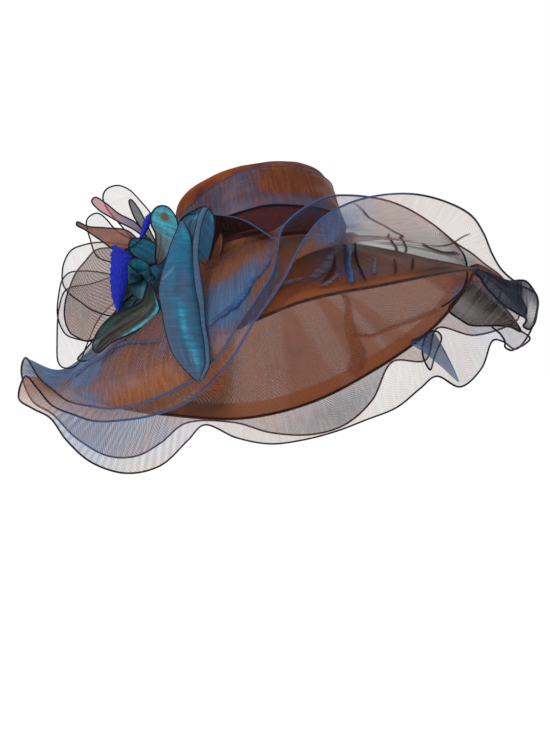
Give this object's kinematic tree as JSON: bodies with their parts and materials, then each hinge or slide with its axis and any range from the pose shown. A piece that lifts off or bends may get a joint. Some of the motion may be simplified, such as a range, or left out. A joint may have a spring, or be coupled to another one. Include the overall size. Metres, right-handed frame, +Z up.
{
  "type": "wide-brim sun hat with ruffles and a flower",
  "caption": "Dress sun hat of sheer organza: oval crown, wide sloping brim, two long ruffles with rolled edges and a side flower of loops, petals and feathers.",
  "frame": {"origin": "middle of the head opening at the foot of the crown, where the hat sits on a head", "axes": "+Z up, -Y to the front of the wearer, +X to the wearer's left; the crown leans 12 degrees to -X and tips back 13 degrees to +Y, as worn"},
  "size_m": [0.604, 0.5172, 0.3655],
  "materials": {
    "crown_organza": "sheer brown organza over itself, satin sheen",
    "brim_organza": "stiff sheer brown organza, satin sheen",
    "bound_edge": "bound wire edge, matt",
    "band_organza": "sheer blue and brown organza wrap",
    "ruffle_organza": "sheer changeable blue and brown organza with a dark rolled edge",
    "teal_organza": "teal organza with a bright sheen",
    "petal_organza": "very sheer grey and brown organza with a dark wire edge",
    "leaf_organza": "dark green and blue organza",
    "brown_organza": "brown organza",
    "feather": "royal blue feather, matt"
  },
  "bodies": {
    "root": {"crown": "crown_organza", "crown_band": "band_organza", "crown_frill": "ruffle_organza", "brim": "brim_organza", "brim_binding": "bound_edge", "ruffle_upper": "ruffle_organza", "ruffle_lower": "ruffle_organza", "flower_knot": "teal_organza", "teal_drop": "teal_organza", "teal_loop": "teal_organza", "teal_fold": "teal_organza", "teal_back": "teal_organza", "blue_leaf": "leaf_organza", "green_leaf": "leaf_organza", "brown_leaf": "brown_organza", "brown_petal": "brown_organza", "pink_petal": "petal_organza", "grey_petal": "petal_organza", "top_petal": "petal_organza", "upper_petal": "petal_organza", "left_petal": "petal_organza", "net_petal": "petal_organza", "low_petal": "petal_organza", "tail_petal": "petal_organza", "feather_long": "feather", "feather_short": "feather"}
  },
  "joints": []
}
